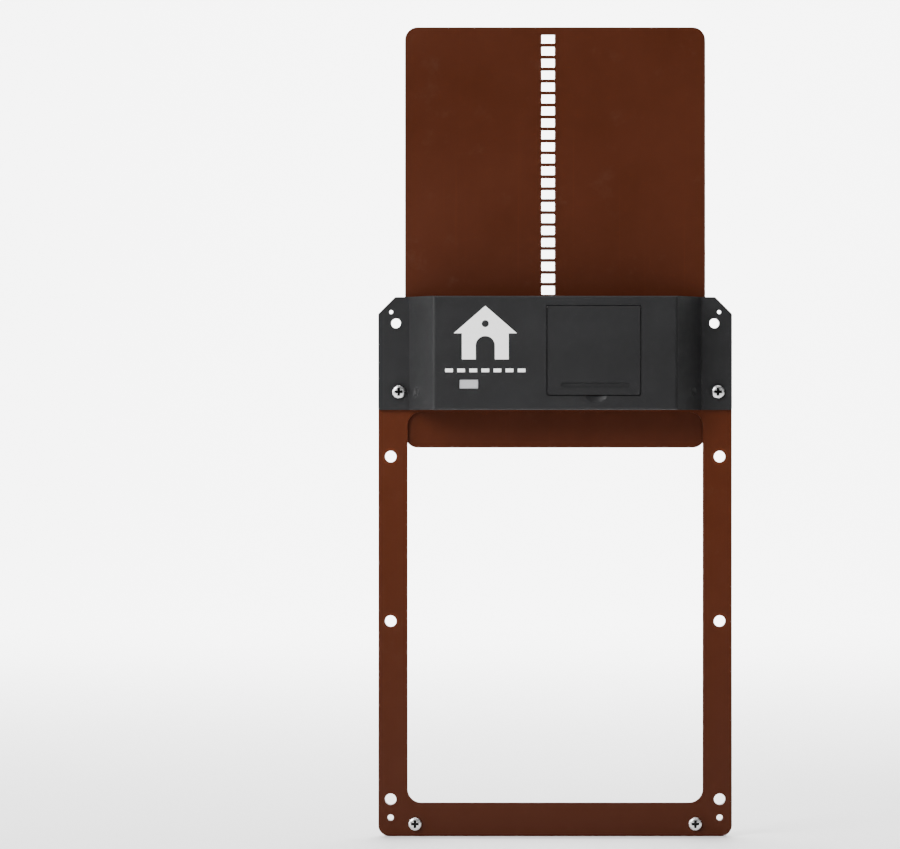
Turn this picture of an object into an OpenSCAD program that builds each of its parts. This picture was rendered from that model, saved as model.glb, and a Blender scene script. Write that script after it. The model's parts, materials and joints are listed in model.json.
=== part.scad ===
// Automatic coop door: a sheet-metal frame with a powered panel that slides up through it.
// Origin: centre of the four wall-screw holes, on the wall plane. +Z up, the front faces -Y.
// Lengths in millimetres, angles in degrees.

/* [Frame] */
// Width of the frame over its outside edges
frame_w = 260; // [258:1:262]
// Height of the frame over its outside edges
frame_h = 396; // [395:1:397]
// Thickness of the front plate
plate_t = 2; // [1.8:0.1:2.2]
// Width of the clear opening
opening_w = 217; // [215:1:218]
// Height of the sill, from the frame's bottom edge to the opening
sill_h = 24.5; // [24:0.5:25]
// Radius of the opening's corners
opening_r = 10; // [8:1:12]
// Distance between the left and right wall holes
hole_dx = 242; // [241:1:242]
// Distance between the low and high wall holes
hole_dz = 252; // [250:1:253]
// Radius of a wall hole
hole_r = 4.2; // [4:0.1:4.5]

/* [Door] */
// Width of the sliding panel
door_w = 221; // [220.5:0.5:221.5]
// Height of the sliding panel
door_h = 309.5; // [309:0.5:310]
// Thickness of the sliding panel
door_t = 2; // [1.9:0.1:2]
// Height of the panel's lower edge above the origin when it is fully open
door_open_z = 132.5; // [132:0.5:133]
// Height of one drive slot
slot_h = 6.4; // [6.3:0.1:6.6]
// Width of one drive slot
slot_w = 9.8; // [9.4:0.2:10]
// Distance of the slots' centre line left of the panel's centre
slot_offset = 5.2; // [5:0.1:5.4]

/* [Control unit] */
// Height of the housing
housing_h = 83; // [82:0.5:83]
// How far the housing's face stands in front of the front plate
housing_d = 32; // [31.5:0.5:32]
// Wall thickness of the housing
wall = 2.2; // [2:0.1:2.4]
// Width of the housing's flat face
face_w = 177; // [175:1:179]
// Width of the housing's raised part where it meets the flanges
base_w = 214.6; // [214:0.2:215]
// Thickness of the two flanges
flange_t = 3; // [2.5:0.5:3]
// Width of the battery cover's recess
cover_w = 69; // [69:0.2:70]
// Height of the battery cover's recess
cover_h = 66.2; // [66:0.2:67]
// Thickness of the battery cover
cover_t = 2.4; // [2.2:0.1:2.4]

/* [Drive] */
// Height of the sprocket's axis above the origin
axis_z = 173; // [172.9:0.1:173.1]

/* [Hidden] */
$fn = 48;

// Colours
brown = [0.33, 0.16, 0.10];
charcoal = [0.22, 0.22, 0.23];
black = [0.08, 0.08, 0.09];
nylon = [0.86, 0.85, 0.80];
steel = [0.72, 0.73, 0.75];
bronze = [0.72, 0.52, 0.28];
board_green = [0.08, 0.32, 0.20];

// Levels along Y: the wall plane is 0 and everything is in front of it
lip_t = 1.8;
door_gap = 0.4;
door_back = -lip_t - door_gap;
door_front = door_back - door_t;
plate_back = door_front - door_gap;
plate_front = plate_back - plate_t;
flange_front = plate_front - flange_t;
face_y = plate_front - housing_d;
inner_y = face_y + wall;
board_front = inner_y + 4.8;
board_t = 1.6;
board_back = board_front + board_t;

// Levels along Z
frame_bottom = -hole_dz / 2 - 27;
frame_top = frame_bottom + frame_h;
opening_bottom = frame_bottom + sill_h;
opening_top = frame_top - 84;
housing_top = frame_top + 0.3;
housing_bottom = housing_top - housing_h;
mid_hole_z = 5;
low_pilot_z = -139.5;
top_hole_z = 224;
top_pilot_z = 232.3;
sill_screw_z = -144;
housing_screw_z = 173.6;
sill_bar_top = opening_bottom - 3;
overlap = 0.1;

// Places along X
top_hole_x = 117;
top_pilot_x = 120.6;
sill_screw_x = 103;
left_screw_x = -114.8;
right_screw_x = 119.5;
rail_in = door_w / 2 + 0.6;
rail_out = frame_w / 2 - 0.6;
lip_in = opening_w / 2 + 0.4;
corner_cut = 12.5;
pilot_r = 2.3;
top_hole_r = 3.6;
top_pilot_r = 1.5;
m5_r = 2.5;

// Drive: the slots, the sprocket and the worm only mesh at these sizes
slot_pitch = 8.8;
slot_count = 31;
sprocket_teeth = 6;
wheel_teeth = 15;
gear_module = 0.8;
pitch_r = sprocket_teeth * slot_pitch / (2 * PI);
axis_y = (door_front + door_back) / 2 - pitch_r;
sprocket_x = -slot_offset;
sprocket_w = 7.6;
tip_r = pitch_r + 1.6;
top_slot_z = door_open_z + door_h - slot_pitch;
slots_down = floor((top_slot_z - axis_z) / slot_pitch);
slot_phase = top_slot_z - axis_z - slots_down * slot_pitch;
sprocket_turn = slot_phase / pitch_r * 180 / PI;
wheel_x = -19;
wheel_w = 5;
wheel_r = wheel_teeth * gear_module / 2;
wheel_tip_r = wheel_r + 0.8;
wheel_root_r = wheel_r - 0.95;
worm_r = 3;
worm_tip_r = worm_r + 0.7;
worm_root_r = worm_r - 0.95;
worm_lead = PI * gear_module;
worm_l = 12;
worm_y = axis_y - wheel_r - worm_r;
backlash = 0.14;
shaft_r = 2;
worm_shaft_r = 1.5;
running = 0.05;
gearbox_top = 186;
gearbox_split = -16;
gearbox_front = -27;
gearbox_left = -28.5;
gearbox_right = -10.5;
gearbox_wall = 3;
case_bottom = housing_bottom + wall + 0.3;
motor_r = 8;
gearhead_l = 15;
motor_l = 22;

// Battery bay
cover_x = 28.2;
cover_z = 203.5;
recess_t = cover_t + 0.2;
recess_y = face_y + recess_t;
ledge_back = recess_y + wall;
bay_x = 30.85;
bay_w = 58.9;
bay_h = 58;
tray_wall = 1.6;
tray_floor = -21.4;
cell_r = 7.1;
cell_l = 49.5;
cell_y = -28.7;
cell_gap = 14.7;
hinge_r = cover_t / 2;
hinge_y = face_y + hinge_r;
hinge_z = cover_z + cover_h / 2 - hinge_r - 0.2;
pin_r = 0.6;
seal_w = 1.4;
button_x = -3.4;
button_z = 196;
button_r = 1.8;
window_x = -62.8;
window_z = 179;
window_w = 13.6;
window_h = 6.6;
dimple_x = 106.7;
dimple_y = -20.8;
dimple_r = 6.6;
boss_places = [[-80, 176], [-80, 231], [-12, 232], [-46, 176]];

// ---- Shared shapes ----

// Arc of points round a corner, so that two straight runs meet in a radius
function corner_arc(a, b, c, r) =
    let (steps = r > 5 ? 12 : 6, u = (a - b) / norm(a - b), v = (c - b) / norm(c - b))
    let (half = acos(u * v) / 2, mid = (u + v) / norm(u + v))
    let (centre = b + mid * r / sin(half), sweep = 180 - 2 * half)
    let (start = b + u * r / tan(half) - centre)
    let (turn = (u[0] * v[1] - u[1] * v[0]) > 0 ? -1 : 1)
    [for (i = [0:steps]) centre + turned(start, turn * sweep * i / steps)];

function turned(p, a) = [p[0] * cos(a) - p[1] * sin(a), p[0] * sin(a) + p[1] * cos(a)];

// Closed outline with each corner rounded by its own radius; 0 keeps it sharp
function softened(pts, radii) =
    let (n = len(pts))
    [for (i = [0:n - 1])
        each radii[i] == 0
            ? [pts[i]]
            : corner_arc(pts[(i + n - 1) % n], pts[i], pts[(i + 1) % n], radii[i])];

// Slab of a front-view outline, its back face at y and its front face at y - t
module slab(y, t) {
    translate([0, y, 0])
        rotate([90, 0, 0])
            linear_extrude(t)
                children();
}

// Round bar along Y from the front level to the back level
module bar_y(x, z, r, front, back) {
    translate([x, back, z])
        rotate([90, 0, 0])
            cylinder(h = back - front, r = r);
}

// Round bar along X
module bar_x(y, z, r, left, right) {
    translate([left, y, z])
        rotate([0, 90, 0])
            cylinder(h = right - left, r = r);
}

// Box given by its low and high corners
module block(low, high) {
    translate(low)
        cube(high - low);
}

// Centred rectangle with true round corners
module round_rect(w, h, r) {
    square([w - 2 * r, h], center = true);
    square([w, h - 2 * r], center = true);
    for (sx = [-1, 1], sz = [-1, 1])
        translate([sx * (w / 2 - r), sz * (h / 2 - r)])
            circle(r);
}

// Pan-head screw with a cross recess, its head's underside at y and its shank running back
module pan_screw(x, z, y, head_r, head_h, shank_r, shank_l) {
    slot = head_r * 0.24;
    translate([x, y, z])
        rotate([90, 0, 0]) {
            difference() {
                rotate_extrude()
                    polygon([
                        [0, 0], [head_r, 0], [head_r, head_h * 0.35], [head_r * 0.93, head_h * 0.62],
                        [head_r * 0.78, head_h * 0.84], [head_r * 0.5, head_h * 0.97], [0, head_h]
                    ]);
                for (a = [0, 90])
                    rotate([0, 0, a + 20])
                        translate([-head_r * 0.56, -slot / 2, head_h * 0.4])
                            cube([head_r * 1.12, slot, head_h]);
            }
            translate([0, 0, -shank_l])
                cylinder(h = shank_l, r = shank_r);
        }
}

// Insulated lead through a list of points, as one closed eight-sided tube
module lead(route, r = 0.6, sides = 8) {
    n = len(route);
    slant = [0.8, 0, -0.6];
    rings = [for (i = [0:n - 1])
        let (run = route[min(i + 1, n - 1)] - route[max(i - 1, 0)], d = run / norm(run))
        let (side = cross(d, slant), u = side / norm(side), v = cross(d, u))
        for (k = [0:sides - 1])
            route[i] + r * (u * cos(360 * k / sides) + v * sin(360 * k / sides))];
    polyhedron(
        points = rings,
        faces = [
            [for (k = [0:sides - 1]) k],
            [for (k = [0:sides - 1]) n * sides - 1 - k],
            for (i = [0:n - 2], k = [0:sides - 1])
                let (near = i * sides, far = near + sides, next = (k + 1) % sides)
                each [[near + k, far + k, far + next], [near + k, far + next, near + next]]
        ]
    );
}

// ---- Frame ----

// Front-view outline of the frame, with cut top corners and round bottom corners
module frame_outline(cut = corner_cut + 1, inset = 0) {
    half = frame_w / 2 - inset;
    bottom = frame_bottom + inset;
    top = frame_top - inset;
    polygon(softened(
        [[-half, bottom], [half, bottom], [half, top - cut], [half - cut, top],
         [-half + cut, top], [-half, top - cut]],
        [8, 8, 0, 0, 0, 0]
    ));
}

// Wall holes and pilot holes of both sides
module wall_holes_2d() {
    for (s = [-1, 1]) {
        for (z = [-hole_dz / 2, mid_hole_z, hole_dz / 2])
            translate([s * hole_dx / 2, z])
                circle(hole_r);
        translate([s * hole_dx / 2, low_pilot_z])
            circle(pilot_r);
        top_holes_2d(s);
    }
}

module top_holes_2d(s) {
    translate([s * top_hole_x, top_hole_z])
        circle(top_hole_r);
    translate([s * top_pilot_x, top_pilot_z])
        circle(top_pilot_r);
}

module housing_screw_holes_2d(r) {
    for (x = [left_screw_x, right_screw_x])
        translate([x, housing_screw_z])
            circle(r);
}

rivet_places = [
    for (s = [-1, 1], z = [-100, -60, -25, 35, 70, 102, 150, 212])
        [s * (rail_in + rail_out) / 2, z]
];
stud_r = 1.6;

module front_plate() {
    window_left = wheel_x - wheel_w / 2 - 1.5;
    window_right = sprocket_x + sprocket_w / 2 + 1.2;
    color(brown)
        difference() {
            slab(plate_back, plate_t)
                difference() {
                    frame_outline();
                    translate([0, (opening_top + opening_bottom) / 2])
                        round_rect(opening_w, opening_top - opening_bottom, opening_r);
                    wall_holes_2d();
                    housing_screw_holes_2d(m5_r + 0.2);
                    for (s = [-1, 1])
                        translate([s * sill_screw_x, sill_screw_z])
                            circle(m5_r + 0.2);
                    translate([window_left, axis_z - 9.6])
                        square([window_right - window_left, 19.2]);
                    for (p = mount_screw_places)
                        translate(p)
                            circle(1.5);
                }
            for (p = rivet_places)
                bar_y(p[0], p[1], stud_r + 0.02, plate_back - 1, plate_back + 1);
        }
}

// Side channel: a spacer outside the panel's edge and a thin lip behind it
module rail(s) {
    pocket_in = s * (opening_w / 2 - 1);
    pocket_out = s * bridge_pocket_x;
    difference() {
        union() {
            slab(0, -plate_back)
                intersection() {
                    translate([s > 0 ? rail_in : -rail_out, frame_bottom + 1])
                        square([rail_out - rail_in, frame_h - 4]);
                    frame_outline(corner_cut + 2, 0.6);
                }
            slab(0, lip_t)
                translate([s > 0 ? lip_in : -rail_in - overlap, opening_bottom - 2.6])
                    square([rail_in - lip_in + overlap, frame_top - opening_bottom - 2]);
        }
        slab(1, 20)
            wall_holes_2d();
        slab(-2.2, 20)
            housing_screw_holes_2d(m5_r + 0.02);
        for (p = rivet_places) {
            bar_y(p[0], p[1], stud_r + 0.02, plate_back - 1, 1);
            bar_y(p[0], p[1], 2.8, -0.9, 1);
        }
        block([min(pocket_in, pocket_out), -lip_t, bridge_mid_z - bridge_h / 2 - 0.3],
              [max(pocket_in, pocket_out), 1, bridge_mid_z + bridge_h / 2 + 0.3]);
        for (z = bridge_screw_z)
            bar_y(s * bridge_screw_x, z, 1.25, plate_back + 0.4, 1);
    }
}

module left_rail() {
    color(brown)
        rail(-1);
}

module right_rail() {
    color(brown)
        rail(1);
}

module sill_bar() {
    half = rail_in - 0.3;
    color(brown)
        difference() {
            block([-half, plate_back, frame_bottom + 1], [half, 0, sill_bar_top]);
            for (s = [-1, 1])
                bar_y(s * sill_screw_x, sill_screw_z, m5_r + 0.02, plate_back - 1, -0.6);
            for (x = [-75:25:75])
                block([x - 9, -3, frame_bottom + 5], [x + 9, 1, sill_bar_top - 4]);
        }
}

// Rubber strip that the panel lands on
module sill_buffer() {
    color(black)
        block([-98, door_front - 0.1, sill_bar_top], [98, door_back + 0.1, sill_bar_top + 1.6]);
}

bridge_screw_x = 121.6;
bridge_screw_z = [165, 186];
bridge_mid_z = 175.5;
bridge_w = 251.6;
bridge_h = 29;
bridge_pocket_x = bridge_w / 2 + 0.4;

// Strap behind the panel that takes the sprocket's push
module rear_bridge() {
    color(steel)
        difference() {
            slab(0, lip_t - 0.02)
                difference() {
                    translate([0, bridge_mid_z])
                        round_rect(bridge_w, bridge_h, 2);
                    translate([sprocket_x, axis_z])
                        round_rect(sprocket_w + 3, 17.5, 1);
                    for (s = [-1, 1], z = bridge_screw_z)
                        translate([s * bridge_screw_x, z])
                            circle(1.7);
                }
            for (s = [-1, 1], z = bridge_screw_z)
                bridge_countersink(s * bridge_screw_x, z, 0.02);
        }
}

module bridge_countersink(x, z, grow) {
    translate([x, 0, z])
        rotate([90, 0, 0])
            cylinder(h = 1.3, r1 = 2.9 + grow, r2 = 1.6 + grow);
}

module bridge_screws() {
    color(steel)
        for (s = [-1, 1], z = bridge_screw_z)
            difference() {
                union() {
                    bridge_countersink(s * bridge_screw_x, z, 0);
                    bar_y(s * bridge_screw_x, z, 1.23, plate_back + 0.5, -1.2);
                }
                for (a = [0, 90])
                    translate([s * bridge_screw_x, 0, z])
                        rotate([0, a, 0])
                            cube([3, 1.6, 0.6], center = true);
            }
}

// Flush studs that hold the side channels to the front plate
module rail_rivets() {
    color(brown)
        for (p = rivet_places) {
            bar_y(p[0], p[1], stud_r, plate_back - 1, -0.8);
            bar_y(p[0], p[1], 2.75, -0.88, -0.1);
        }
}

module sill_screws() {
    color(steel)
        for (s = [-1, 1])
            pan_screw(s * sill_screw_x, sill_screw_z, plate_front, 5, 3.1, m5_r, 5.6);
}

module door_panel() {
    color(brown)
        slab(door_back, door_t)
            difference() {
                translate([0, door_open_z + door_h / 2])
                    round_rect(door_w, door_h, 9.5);
                for (i = [0:slot_count - 1])
                    translate([sprocket_x, top_slot_z - i * slot_pitch])
                        round_rect(slot_w, slot_h, 0.5);
            }
}

// ---- Control unit ----

// Plan of the raised part, from above: sloped sides and a flat face
module raised_plan() {
    polygon(softened(
        [[-base_w / 2, plate_front], [-base_w / 2, flange_front], [-face_w / 2, face_y],
         [face_w / 2, face_y], [base_w / 2, flange_front], [base_w / 2, plate_front]],
        [0, 0, 3, 3, 0, 0]
    ));
}

module hollow_plan() {
    base = base_w / 2 - 2.6;
    top = face_w / 2 - 1.2;
    polygon(softened(
        [[-base, 0], [-base, flange_front], [-top, inner_y],
         [top, inner_y], [base, flange_front], [base, 0]],
        [0, 0, 1.5, 1.5, 0, 0]
    ));
}

// Side view of the raised part, with its two front edges rounded
module raised_side() {
    polygon(softened(
        [[plate_front, housing_bottom], [face_y, housing_bottom], [face_y, housing_top],
         [plate_front, housing_top]],
        [0, 1.8, 1.8, 0]
    ));
}

module raised_part() {
    intersection() {
        translate([0, 0, housing_bottom])
            linear_extrude(housing_h)
                raised_plan();
        rotate([90, 0, 90])
            translate([0, 0, -frame_w / 2])
                linear_extrude(frame_w)
                    raised_side();
    }
}

module flange(s) {
    out = s * frame_w / 2;
    in = s * (base_w / 2 - 6);
    cut = s * corner_cut;
    slab(plate_front, flange_t)
        difference() {
            polygon(softened(
                [[in, housing_bottom], [out, housing_bottom], [out, housing_top - corner_cut],
                 [out - cut, housing_top], [in, housing_top]],
                [0, 1.5, 2, 2, 0]
            ));
            top_holes_2d(s);
            housing_screw_holes_2d(m5_r + 0.2);
        }
}

module housing() {
    left = cover_x - cover_w / 2;
    right = cover_x + cover_w / 2;
    low = cover_z - cover_h / 2;
    high = cover_z + cover_h / 2;
    scoop_r = 21;
    scoop_depth = 2.4;
    corner = 2;
    color(charcoal)
        difference() {
            union() {
                difference() {
                    union() {
                        raised_part();
                        flange(-1);
                        flange(1);
                    }
                    translate([0, 0, housing_bottom + wall])
                        linear_extrude(housing_h - 2 * wall)
                            hollow_plan();
                }
                block([left - 2.2, inner_y - overlap, housing_bottom + 2],
                      [right + 5.6, ledge_back, housing_top - 2]);
                for (p = boss_places)
                    bar_y(p[0], p[1], 3, inner_y - overlap, board_front);
            }
            // recess for the cover, then the mouth of the bay
            slab(recess_y, recess_t + 1)
                polygon(softened(
                    [[left, low], [right, low], [right, high], [left, high]],
                    [corner, corner, 0, 0]
                ));
            block([bay_x - bay_w / 2, face_y, cover_z - bay_h / 2],
                  [bay_x + bay_w / 2, 0, cover_z + bay_h / 2]);
            // groove for the cover's seal
            slab(recess_y + 1, 1.2)
                seal_ring(0.1);
            // thumb scoop under the cover, and the slot for its snap tongue
            translate([cover_x + 1.6, face_y - scoop_r + scoop_depth, low + 4.1])
                sphere(r = scoop_r, $fn = 64);
            block([cover_x - 6.4, face_y + 1, low + 0.4], [cover_x + 6.4, 0, low + 2]);
            // dimples in the slopes that clear a driver's handle beside the flange screws
            for (s = [-1, 1])
                translate([s * dimple_x, dimple_y, housing_screw_z])
                    sphere(r = dimple_r);
            // hinge pin sockets
            bar_x(hinge_y, hinge_z, pin_r + 0.01, left - 1.8, right + 1.8);
            bar_y(button_x, button_z, button_r + 0.3, face_y, 0);
            // window for the light sensor
            block([window_x - window_w / 2, face_y - 1, window_z - window_h / 2],
                  [window_x + window_w / 2, inner_y + 1, window_z + window_h / 2]);
            for (p = boss_places)
                bar_y(p[0], p[1], 1.17, inner_y + 0.3, board_front + 1);
            for (p = tray_screw_places)
                bar_y(p[0], p[1], 1.02, ledge_back - 2.6, ledge_back + 1);
            // step for the seal behind the rim
            block([-base_w / 2 - 0.1, -7.4, housing_bottom - 1],
                  [base_w / 2 + 0.1, 0, housing_top + 1]);
        }
}

// Ring round the mouth of the battery bay, a little wider where it is a groove
module seal_ring(play) {
    outer = 2 * (seal_w + 0.6);
    translate([bay_x, cover_z])
        difference() {
            square([bay_w + outer + 2 * play, bay_h + outer + 2 * play], center = true);
            square([bay_w + 1.2 - 2 * play, bay_h + 1.2 - 2 * play], center = true);
        }
}

module housing_seal() {
    color(black)
        slab(plate_front, 0.8)
            difference() {
                translate([0, (housing_bottom + housing_top) / 2])
                    square([base_w - 0.6, housing_h - 0.6], center = true);
                translate([0, (housing_bottom + housing_top) / 2])
                    square([base_w - 5, housing_h - 4], center = true);
            }
}

module housing_screws() {
    color(steel)
        for (x = [left_screw_x, right_screw_x])
            pan_screw(x, housing_screw_z, flange_front, 5, 3.1, m5_r, 7.3);
}

// Printed mark: a plain coop outline with a doorway and a rule beneath it
module front_print() {
    print_x = -50.8;
    color([0.93, 0.93, 0.92])
        slab(face_y, 0.15) {
            translate([print_x, 197])
                difference() {
                    polygon([[-17, 0], [17, 0], [17, 19], [23, 19], [0, 39], [-23, 19], [-17, 19]]);
                    translate([0, 10])
                        circle(7);
                    translate([-7, -1])
                        square([14, 11]);
                    translate([0, 26])
                        circle(2.6);
                }
            for (i = [-3:3])
                translate([print_x + i * 8.8, 189])
                    square([5.6, 2.6], center = true);
        }
}

module sensor_window() {
    color([0.75, 0.76, 0.77])
        union() {
            block([window_x - window_w / 2 + 0.15, face_y + 0.3, window_z - window_h / 2 + 0.15],
                  [window_x + window_w / 2 - 0.15, inner_y, window_z + window_h / 2 - 0.15]);
            block([window_x - window_w / 2 - 1, inner_y, window_z - window_h / 2 - 1],
                  [window_x + window_w / 2 + 1, inner_y + 0.8, window_z + window_h / 2 + 1]);
        }
}

// Domed component standing on the board behind the window
module dome(x, z, r, l) {
    translate([x, board_front, z])
        rotate([90, 0, 0]) {
            cylinder(h = l - r, r = r);
            translate([0, 0, l - r])
                sphere(r = r);
        }
}

module light_sensor() {
    color([0.9, 0.8, 0.4])
        dome(window_x - 3, window_z, 1.8, 3.7);
}

module status_led() {
    color([0.8, 0.15, 0.1])
        dome(window_x + 3.6, window_z, 1.5, 3.6);
}

module control_board() {
    board_right = bay_x - bay_w / 2 - tray_wall - 0.4;
    color(board_green)
        difference() {
            slab(board_back, board_t)
                polygon([[-84, 171.5], [-31, 171.5], [-31, 187], [board_right, 187],
                         [board_right, 236], [-84, 236]]);
            for (p = boss_places)
                bar_y(p[0], p[1], 1.3, board_front - 1, board_back + 1);
        }
}

// Chips and small parts on the board's front face
module board_parts() {
    chips = [
        [-62, 206, 10, 10, 1.4], [-38, 212, 5, 8, 1.5], [-38, 196, 5, 6.4, 1.5],
        [-70, 226, 12, 6, 3.2], [-50, 226, 6.4, 3.2, 1.8]
    ];
    color(black)
        for (c = chips)
            block([c[0] - c[2] / 2, board_front - c[4], c[1] - c[3] / 2],
                  [c[0] + c[2] / 2, board_front, c[1] + c[3] / 2]);
    color([0.5, 0.4, 0.3])
        for (i = [0:5])
            block([-26, board_front - 0.7, 196 + i * 4], [-23, board_front, 197.6 + i * 4]);
    color([0.2, 0.25, 0.45])
        for (x = [-74, -66])
            bar_y(x, 192, 3, board_back, board_back + 7);
}

// Two sockets on the back of the board, for the motor and the battery leads
module board_connectors() {
    color(nylon)
        for (x = [-58, -42])
            difference() {
                block([x - 4, board_back, 208], [x + 4, board_back + 6, 214]);
                block([x - 3, board_back + 1, 208.8], [x + 3, board_back + 7, 213.2]);
            }
}

module board_screws() {
    color(steel)
        for (p = boss_places)
            mirror([0, 1, 0])
                pan_screw(p[0], p[1], -board_back, 2.4, 1.6, 1.15, 6);
}

module button_switch() {
    color(black)
        block([button_x - 2, board_front - 1.2, button_z - 2.5],
              [button_x + 1.4, board_front, button_z + 2.5]);
}

module open_close_button() {
    color([0.75, 0.2, 0.15])
        union() {
            bar_y(button_x, button_z, button_r, recess_y + 0.1, board_front - 2.1);
            bar_y(button_x, button_z, button_r + 0.25, ledge_back + 0.05, ledge_back + 0.35);
        }
}

// ---- Batteries ----

module battery_tray() {
    outer_w = bay_w + 2 * tray_wall;
    outer_h = bay_h + 2 * tray_wall;
    color(black)
        difference() {
            union() {
                block([bay_x - outer_w / 2, ledge_back, cover_z - outer_h / 2],
                      [bay_x + outer_w / 2, tray_floor + 1.5, cover_z + outer_h / 2]);
                for (p = tray_screw_places)
                    tray_ear(p);
            }
            block([bay_x - bay_w / 2, ledge_back - 1, cover_z - bay_h / 2],
                  [bay_x + bay_w / 2, tray_floor, cover_z + bay_h / 2]);
            for (p = tray_screw_places)
                bar_y(p[0], p[1], 1.2, ledge_back - 1, ledge_back + 4);
        }
}

tray_screw_places = [[64.7, 182], [64.7, 225], [-3.6, 177]];

// Ear that reaches from the tray's side out to one screw
module tray_ear(p) {
    side = p[0] > bay_x ? -1 : 1;
    reach = 4.2;
    block([min(p[0], p[0] + side * reach), ledge_back, p[1] - 2.7],
          [max(p[0], p[0] + side * reach), ledge_back + 2, p[1] + 2.7]);
    bar_y(p[0], p[1], 2.7, ledge_back, ledge_back + 2);
}

module tray_screws() {
    color(steel)
        for (p = tray_screw_places)
            mirror([0, 1, 0])
                pan_screw(p[0], p[1], -ledge_back - 2, 2.2, 1.3, 1, 4.4);
}

// One AA cell; up is 1 with its positive end on top and -1 with it below
module cell(i) {
    up = i % 2 == 1 ? 1 : -1;
    x = bay_x + (i - 2.5) * cell_gap;
    translate([x, cell_y, cover_z + up * -0.2])
        rotate([up > 0 ? 0 : 180, 0, 0])
            rotate_extrude()
                polygon([
                    [0, -cell_l / 2 + 0.2], [4.5, -cell_l / 2 + 0.2], [4.8, -cell_l / 2],
                    [cell_r - 0.5, -cell_l / 2], [cell_r, -cell_l / 2 + 0.6],
                    [cell_r, cell_l / 2 - 0.8], [cell_r - 0.7, cell_l / 2], [2.8, cell_l / 2],
                    [2.8, cell_l / 2 + 0.7], [2.4, cell_l / 2 + 1], [0, cell_l / 2 + 1]
                ]);
}

module battery_cell_1() {
    color([0.16, 0.30, 0.20])
        cell(1);
}

module battery_cell_2() {
    color([0.16, 0.30, 0.20])
        cell(2);
}

module battery_cell_3() {
    color([0.16, 0.30, 0.20])
        cell(3);
}

module battery_cell_4() {
    color([0.16, 0.30, 0.20])
        cell(4);
}

// Springs at the flat ends of the cells, each a stack of five close turns
module contact_springs() {
    wire_r = 0.35;
    turns = 5;
    rise = 0.68;
    color(steel)
        for (i = [1:4]) {
            up = i % 2 == 1 ? 1 : -1;
            x = bay_x + (i - 2.5) * cell_gap;
            translate([x, cell_y, cover_z - up * bay_h / 2])
                rotate([up > 0 ? 0 : 180, 0, 0])
                    rotate_extrude()
                        for (k = [0:turns - 1])
                            translate([4.2 - k * 0.42, 0.85 + k * rise])
                                circle(wire_r + 0.06, $fn = 16);
        }
}

// Sprung tabs at the button ends of the cells
module contact_plates() {
    color(steel)
        for (i = [1:4]) {
            up = i % 2 == 1 ? 1 : -1;
            x = bay_x + (i - 2.5) * cell_gap;
            translate([x, cell_y, cover_z + up * bay_h / 2])
                rotate([up > 0 ? 0 : 180, 0, 0]) {
                    translate([-5, -5, -0.5])
                        cube([10, 10, 0.4]);
                    translate([0, 0, -3.35])
                        cylinder(h = 3, r1 = 1.6, r2 = 3);
                }
        }
}

module cover_seal() {
    color(black)
        slab(recess_y + 0.95, 1.05)
            seal_ring(0);
}

module battery_cover() {
    gap = 0.7;
    left = cover_x - cover_w / 2 + gap;
    right = cover_x + cover_w / 2 - gap;
    low = cover_z - cover_h / 2 + gap;
    back = face_y + cover_t;
    color(charcoal)
        difference() {
            union() {
                slab(back, cover_t)
                    polygon(softened(
                        [[left, low], [right, low], [right, hinge_z], [left, hinge_z]],
                        [1.7, 1.7, 0, 0]
                    ));
                bar_x(hinge_y, hinge_z, hinge_r, left, right);
                block([cover_x - 6, back - overlap, low + 0.15], [cover_x + 6, back + 2, low + 1.05]);
            }
            // long recess across the lower part
            slab(face_y + 1, 2)
                translate([cover_x + 1.4, low + 7.2])
                    round_rect(50, 3.6, 0.8);
            // pin bores at the two ends of the hinge edge
            bar_x(hinge_y, hinge_z, pin_r + running, left - 1, left + 5.2);
            bar_x(hinge_y, hinge_z, pin_r + running, right - 5.2, right + 1);
        }
}

module cover_hinge_pins() {
    left = cover_x - cover_w / 2;
    right = cover_x + cover_w / 2;
    color(steel) {
        bar_x(hinge_y, hinge_z, pin_r, left - 1.7, left + 4.8);
        bar_x(hinge_y, hinge_z, pin_r, right - 4.8, right + 1.7);
    }
}

// ---- Drive ----

mount_screw_places = [[-34, 166.5], [-34, 189.5], [7, 166.5], [7, 189.5]];
cover_screw_places = [[-27, 184.5], [-12, 184.5], [-27, 164.2], [-12, 164.2]];
foot_front = plate_front - 2;
bearing_left = sprocket_x + sprocket_w / 2 + 1;
bearing_right = bearing_left + 3;

module gearbox_body() {
    color(nylon)
        difference() {
            union() {
                block([-38, foot_front, case_bottom], [11, plate_front, 193]);
                block([gearbox_left, gearbox_split, case_bottom],
                      [gearbox_right, plate_front, gearbox_top]);
                block([bearing_left, axis_y - 4.6, 165], [bearing_right, plate_front, 181]);
            }
            // room for the wheel, open to the front and to the back
            block([gearbox_left + gearbox_wall, -30, case_bottom + 2.5],
                  [gearbox_right - gearbox_wall, 0, gearbox_top - gearbox_wall]);
            // room for the sprocket
            block([gearbox_right, -30, axis_z - tip_r - 1],
                  [bearing_left, 0, axis_z + tip_r + 1]);
            bar_x(axis_y, axis_z, 3.2, gearbox_left - 1, gearbox_left + gearbox_wall + 1);
            bar_x(axis_y, axis_z, shaft_r + 0.5, -15, -9);
            bar_x(axis_y, axis_z, 3.2, bearing_left - 1, bearing_right + 1);
            for (p = mount_screw_places)
                bar_y(p[0], p[1], 1.6, foot_front - 1, 0);
            for (p = cover_screw_places)
                bar_y(p[0], p[1], 1, gearbox_split - 1, gearbox_split + 5);
        }
}

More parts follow.
